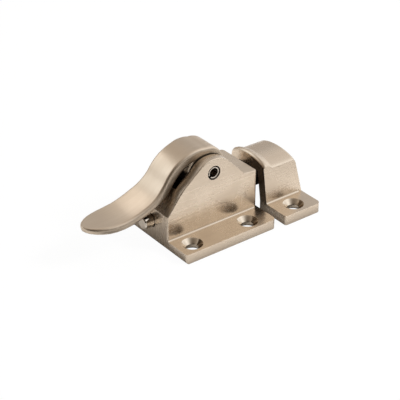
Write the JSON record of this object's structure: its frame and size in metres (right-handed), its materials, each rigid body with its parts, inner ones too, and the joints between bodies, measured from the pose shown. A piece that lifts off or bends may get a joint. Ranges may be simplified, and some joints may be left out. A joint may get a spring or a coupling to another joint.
{
  "type": "cabinet latch",
  "caption": "Surface cabinet latch: a curved lifting lever on a spring pin draws back a sprung bolt that hooks under an arched strike, on screw-down plates.",
  "frame": {"origin": "centre of the housing's four screw holes, on the mounting face", "axes": "+X along the bolt to the strike, +Y across the lever, +Z away from the mounting face"},
  "size_m": [0.0747, 0.0378, 0.0277],
  "materials": {
    "satin_nickel": "satin nickel plate, finely brushed",
    "steel": "bright turned steel",
    "spring_steel": "drawn wire",
    "dark_metal": "dull, unpolished"
  },
  "bodies": {
    "base": {"housing": "satin_nickel", "pivot_pin": "steel", "return_spring": "spring_steel", "strike": "satin_nickel"},
    "handle": {"lever": "satin_nickel"},
    "latch_bolt": {"bolt": "dark_metal", "plunger_rod": "steel"}
  },
  "joints": [
    {"name": "lever_pivot", "type": "hinge", "parent": "base", "child": "handle", "pos_m": [0.0015, 0, 0.0207], "axis": [0, 1, 0], "range_deg": [0, 27], "stiffness_Nm_per_rad": 0.045, "springref_deg": -32.43},
    {"name": "bolt_slide", "type": "slide", "parent": "base", "child": "latch_bolt", "axis": [1, 0, 0], "range_m": [-0.00499, 0], "deforming": ["return_spring"]}
  ],
  "couplings": [
    {"joint": "lever_pivot", "follows": "bolt_slide", "rad_per_m": -94.34}
  ]
}
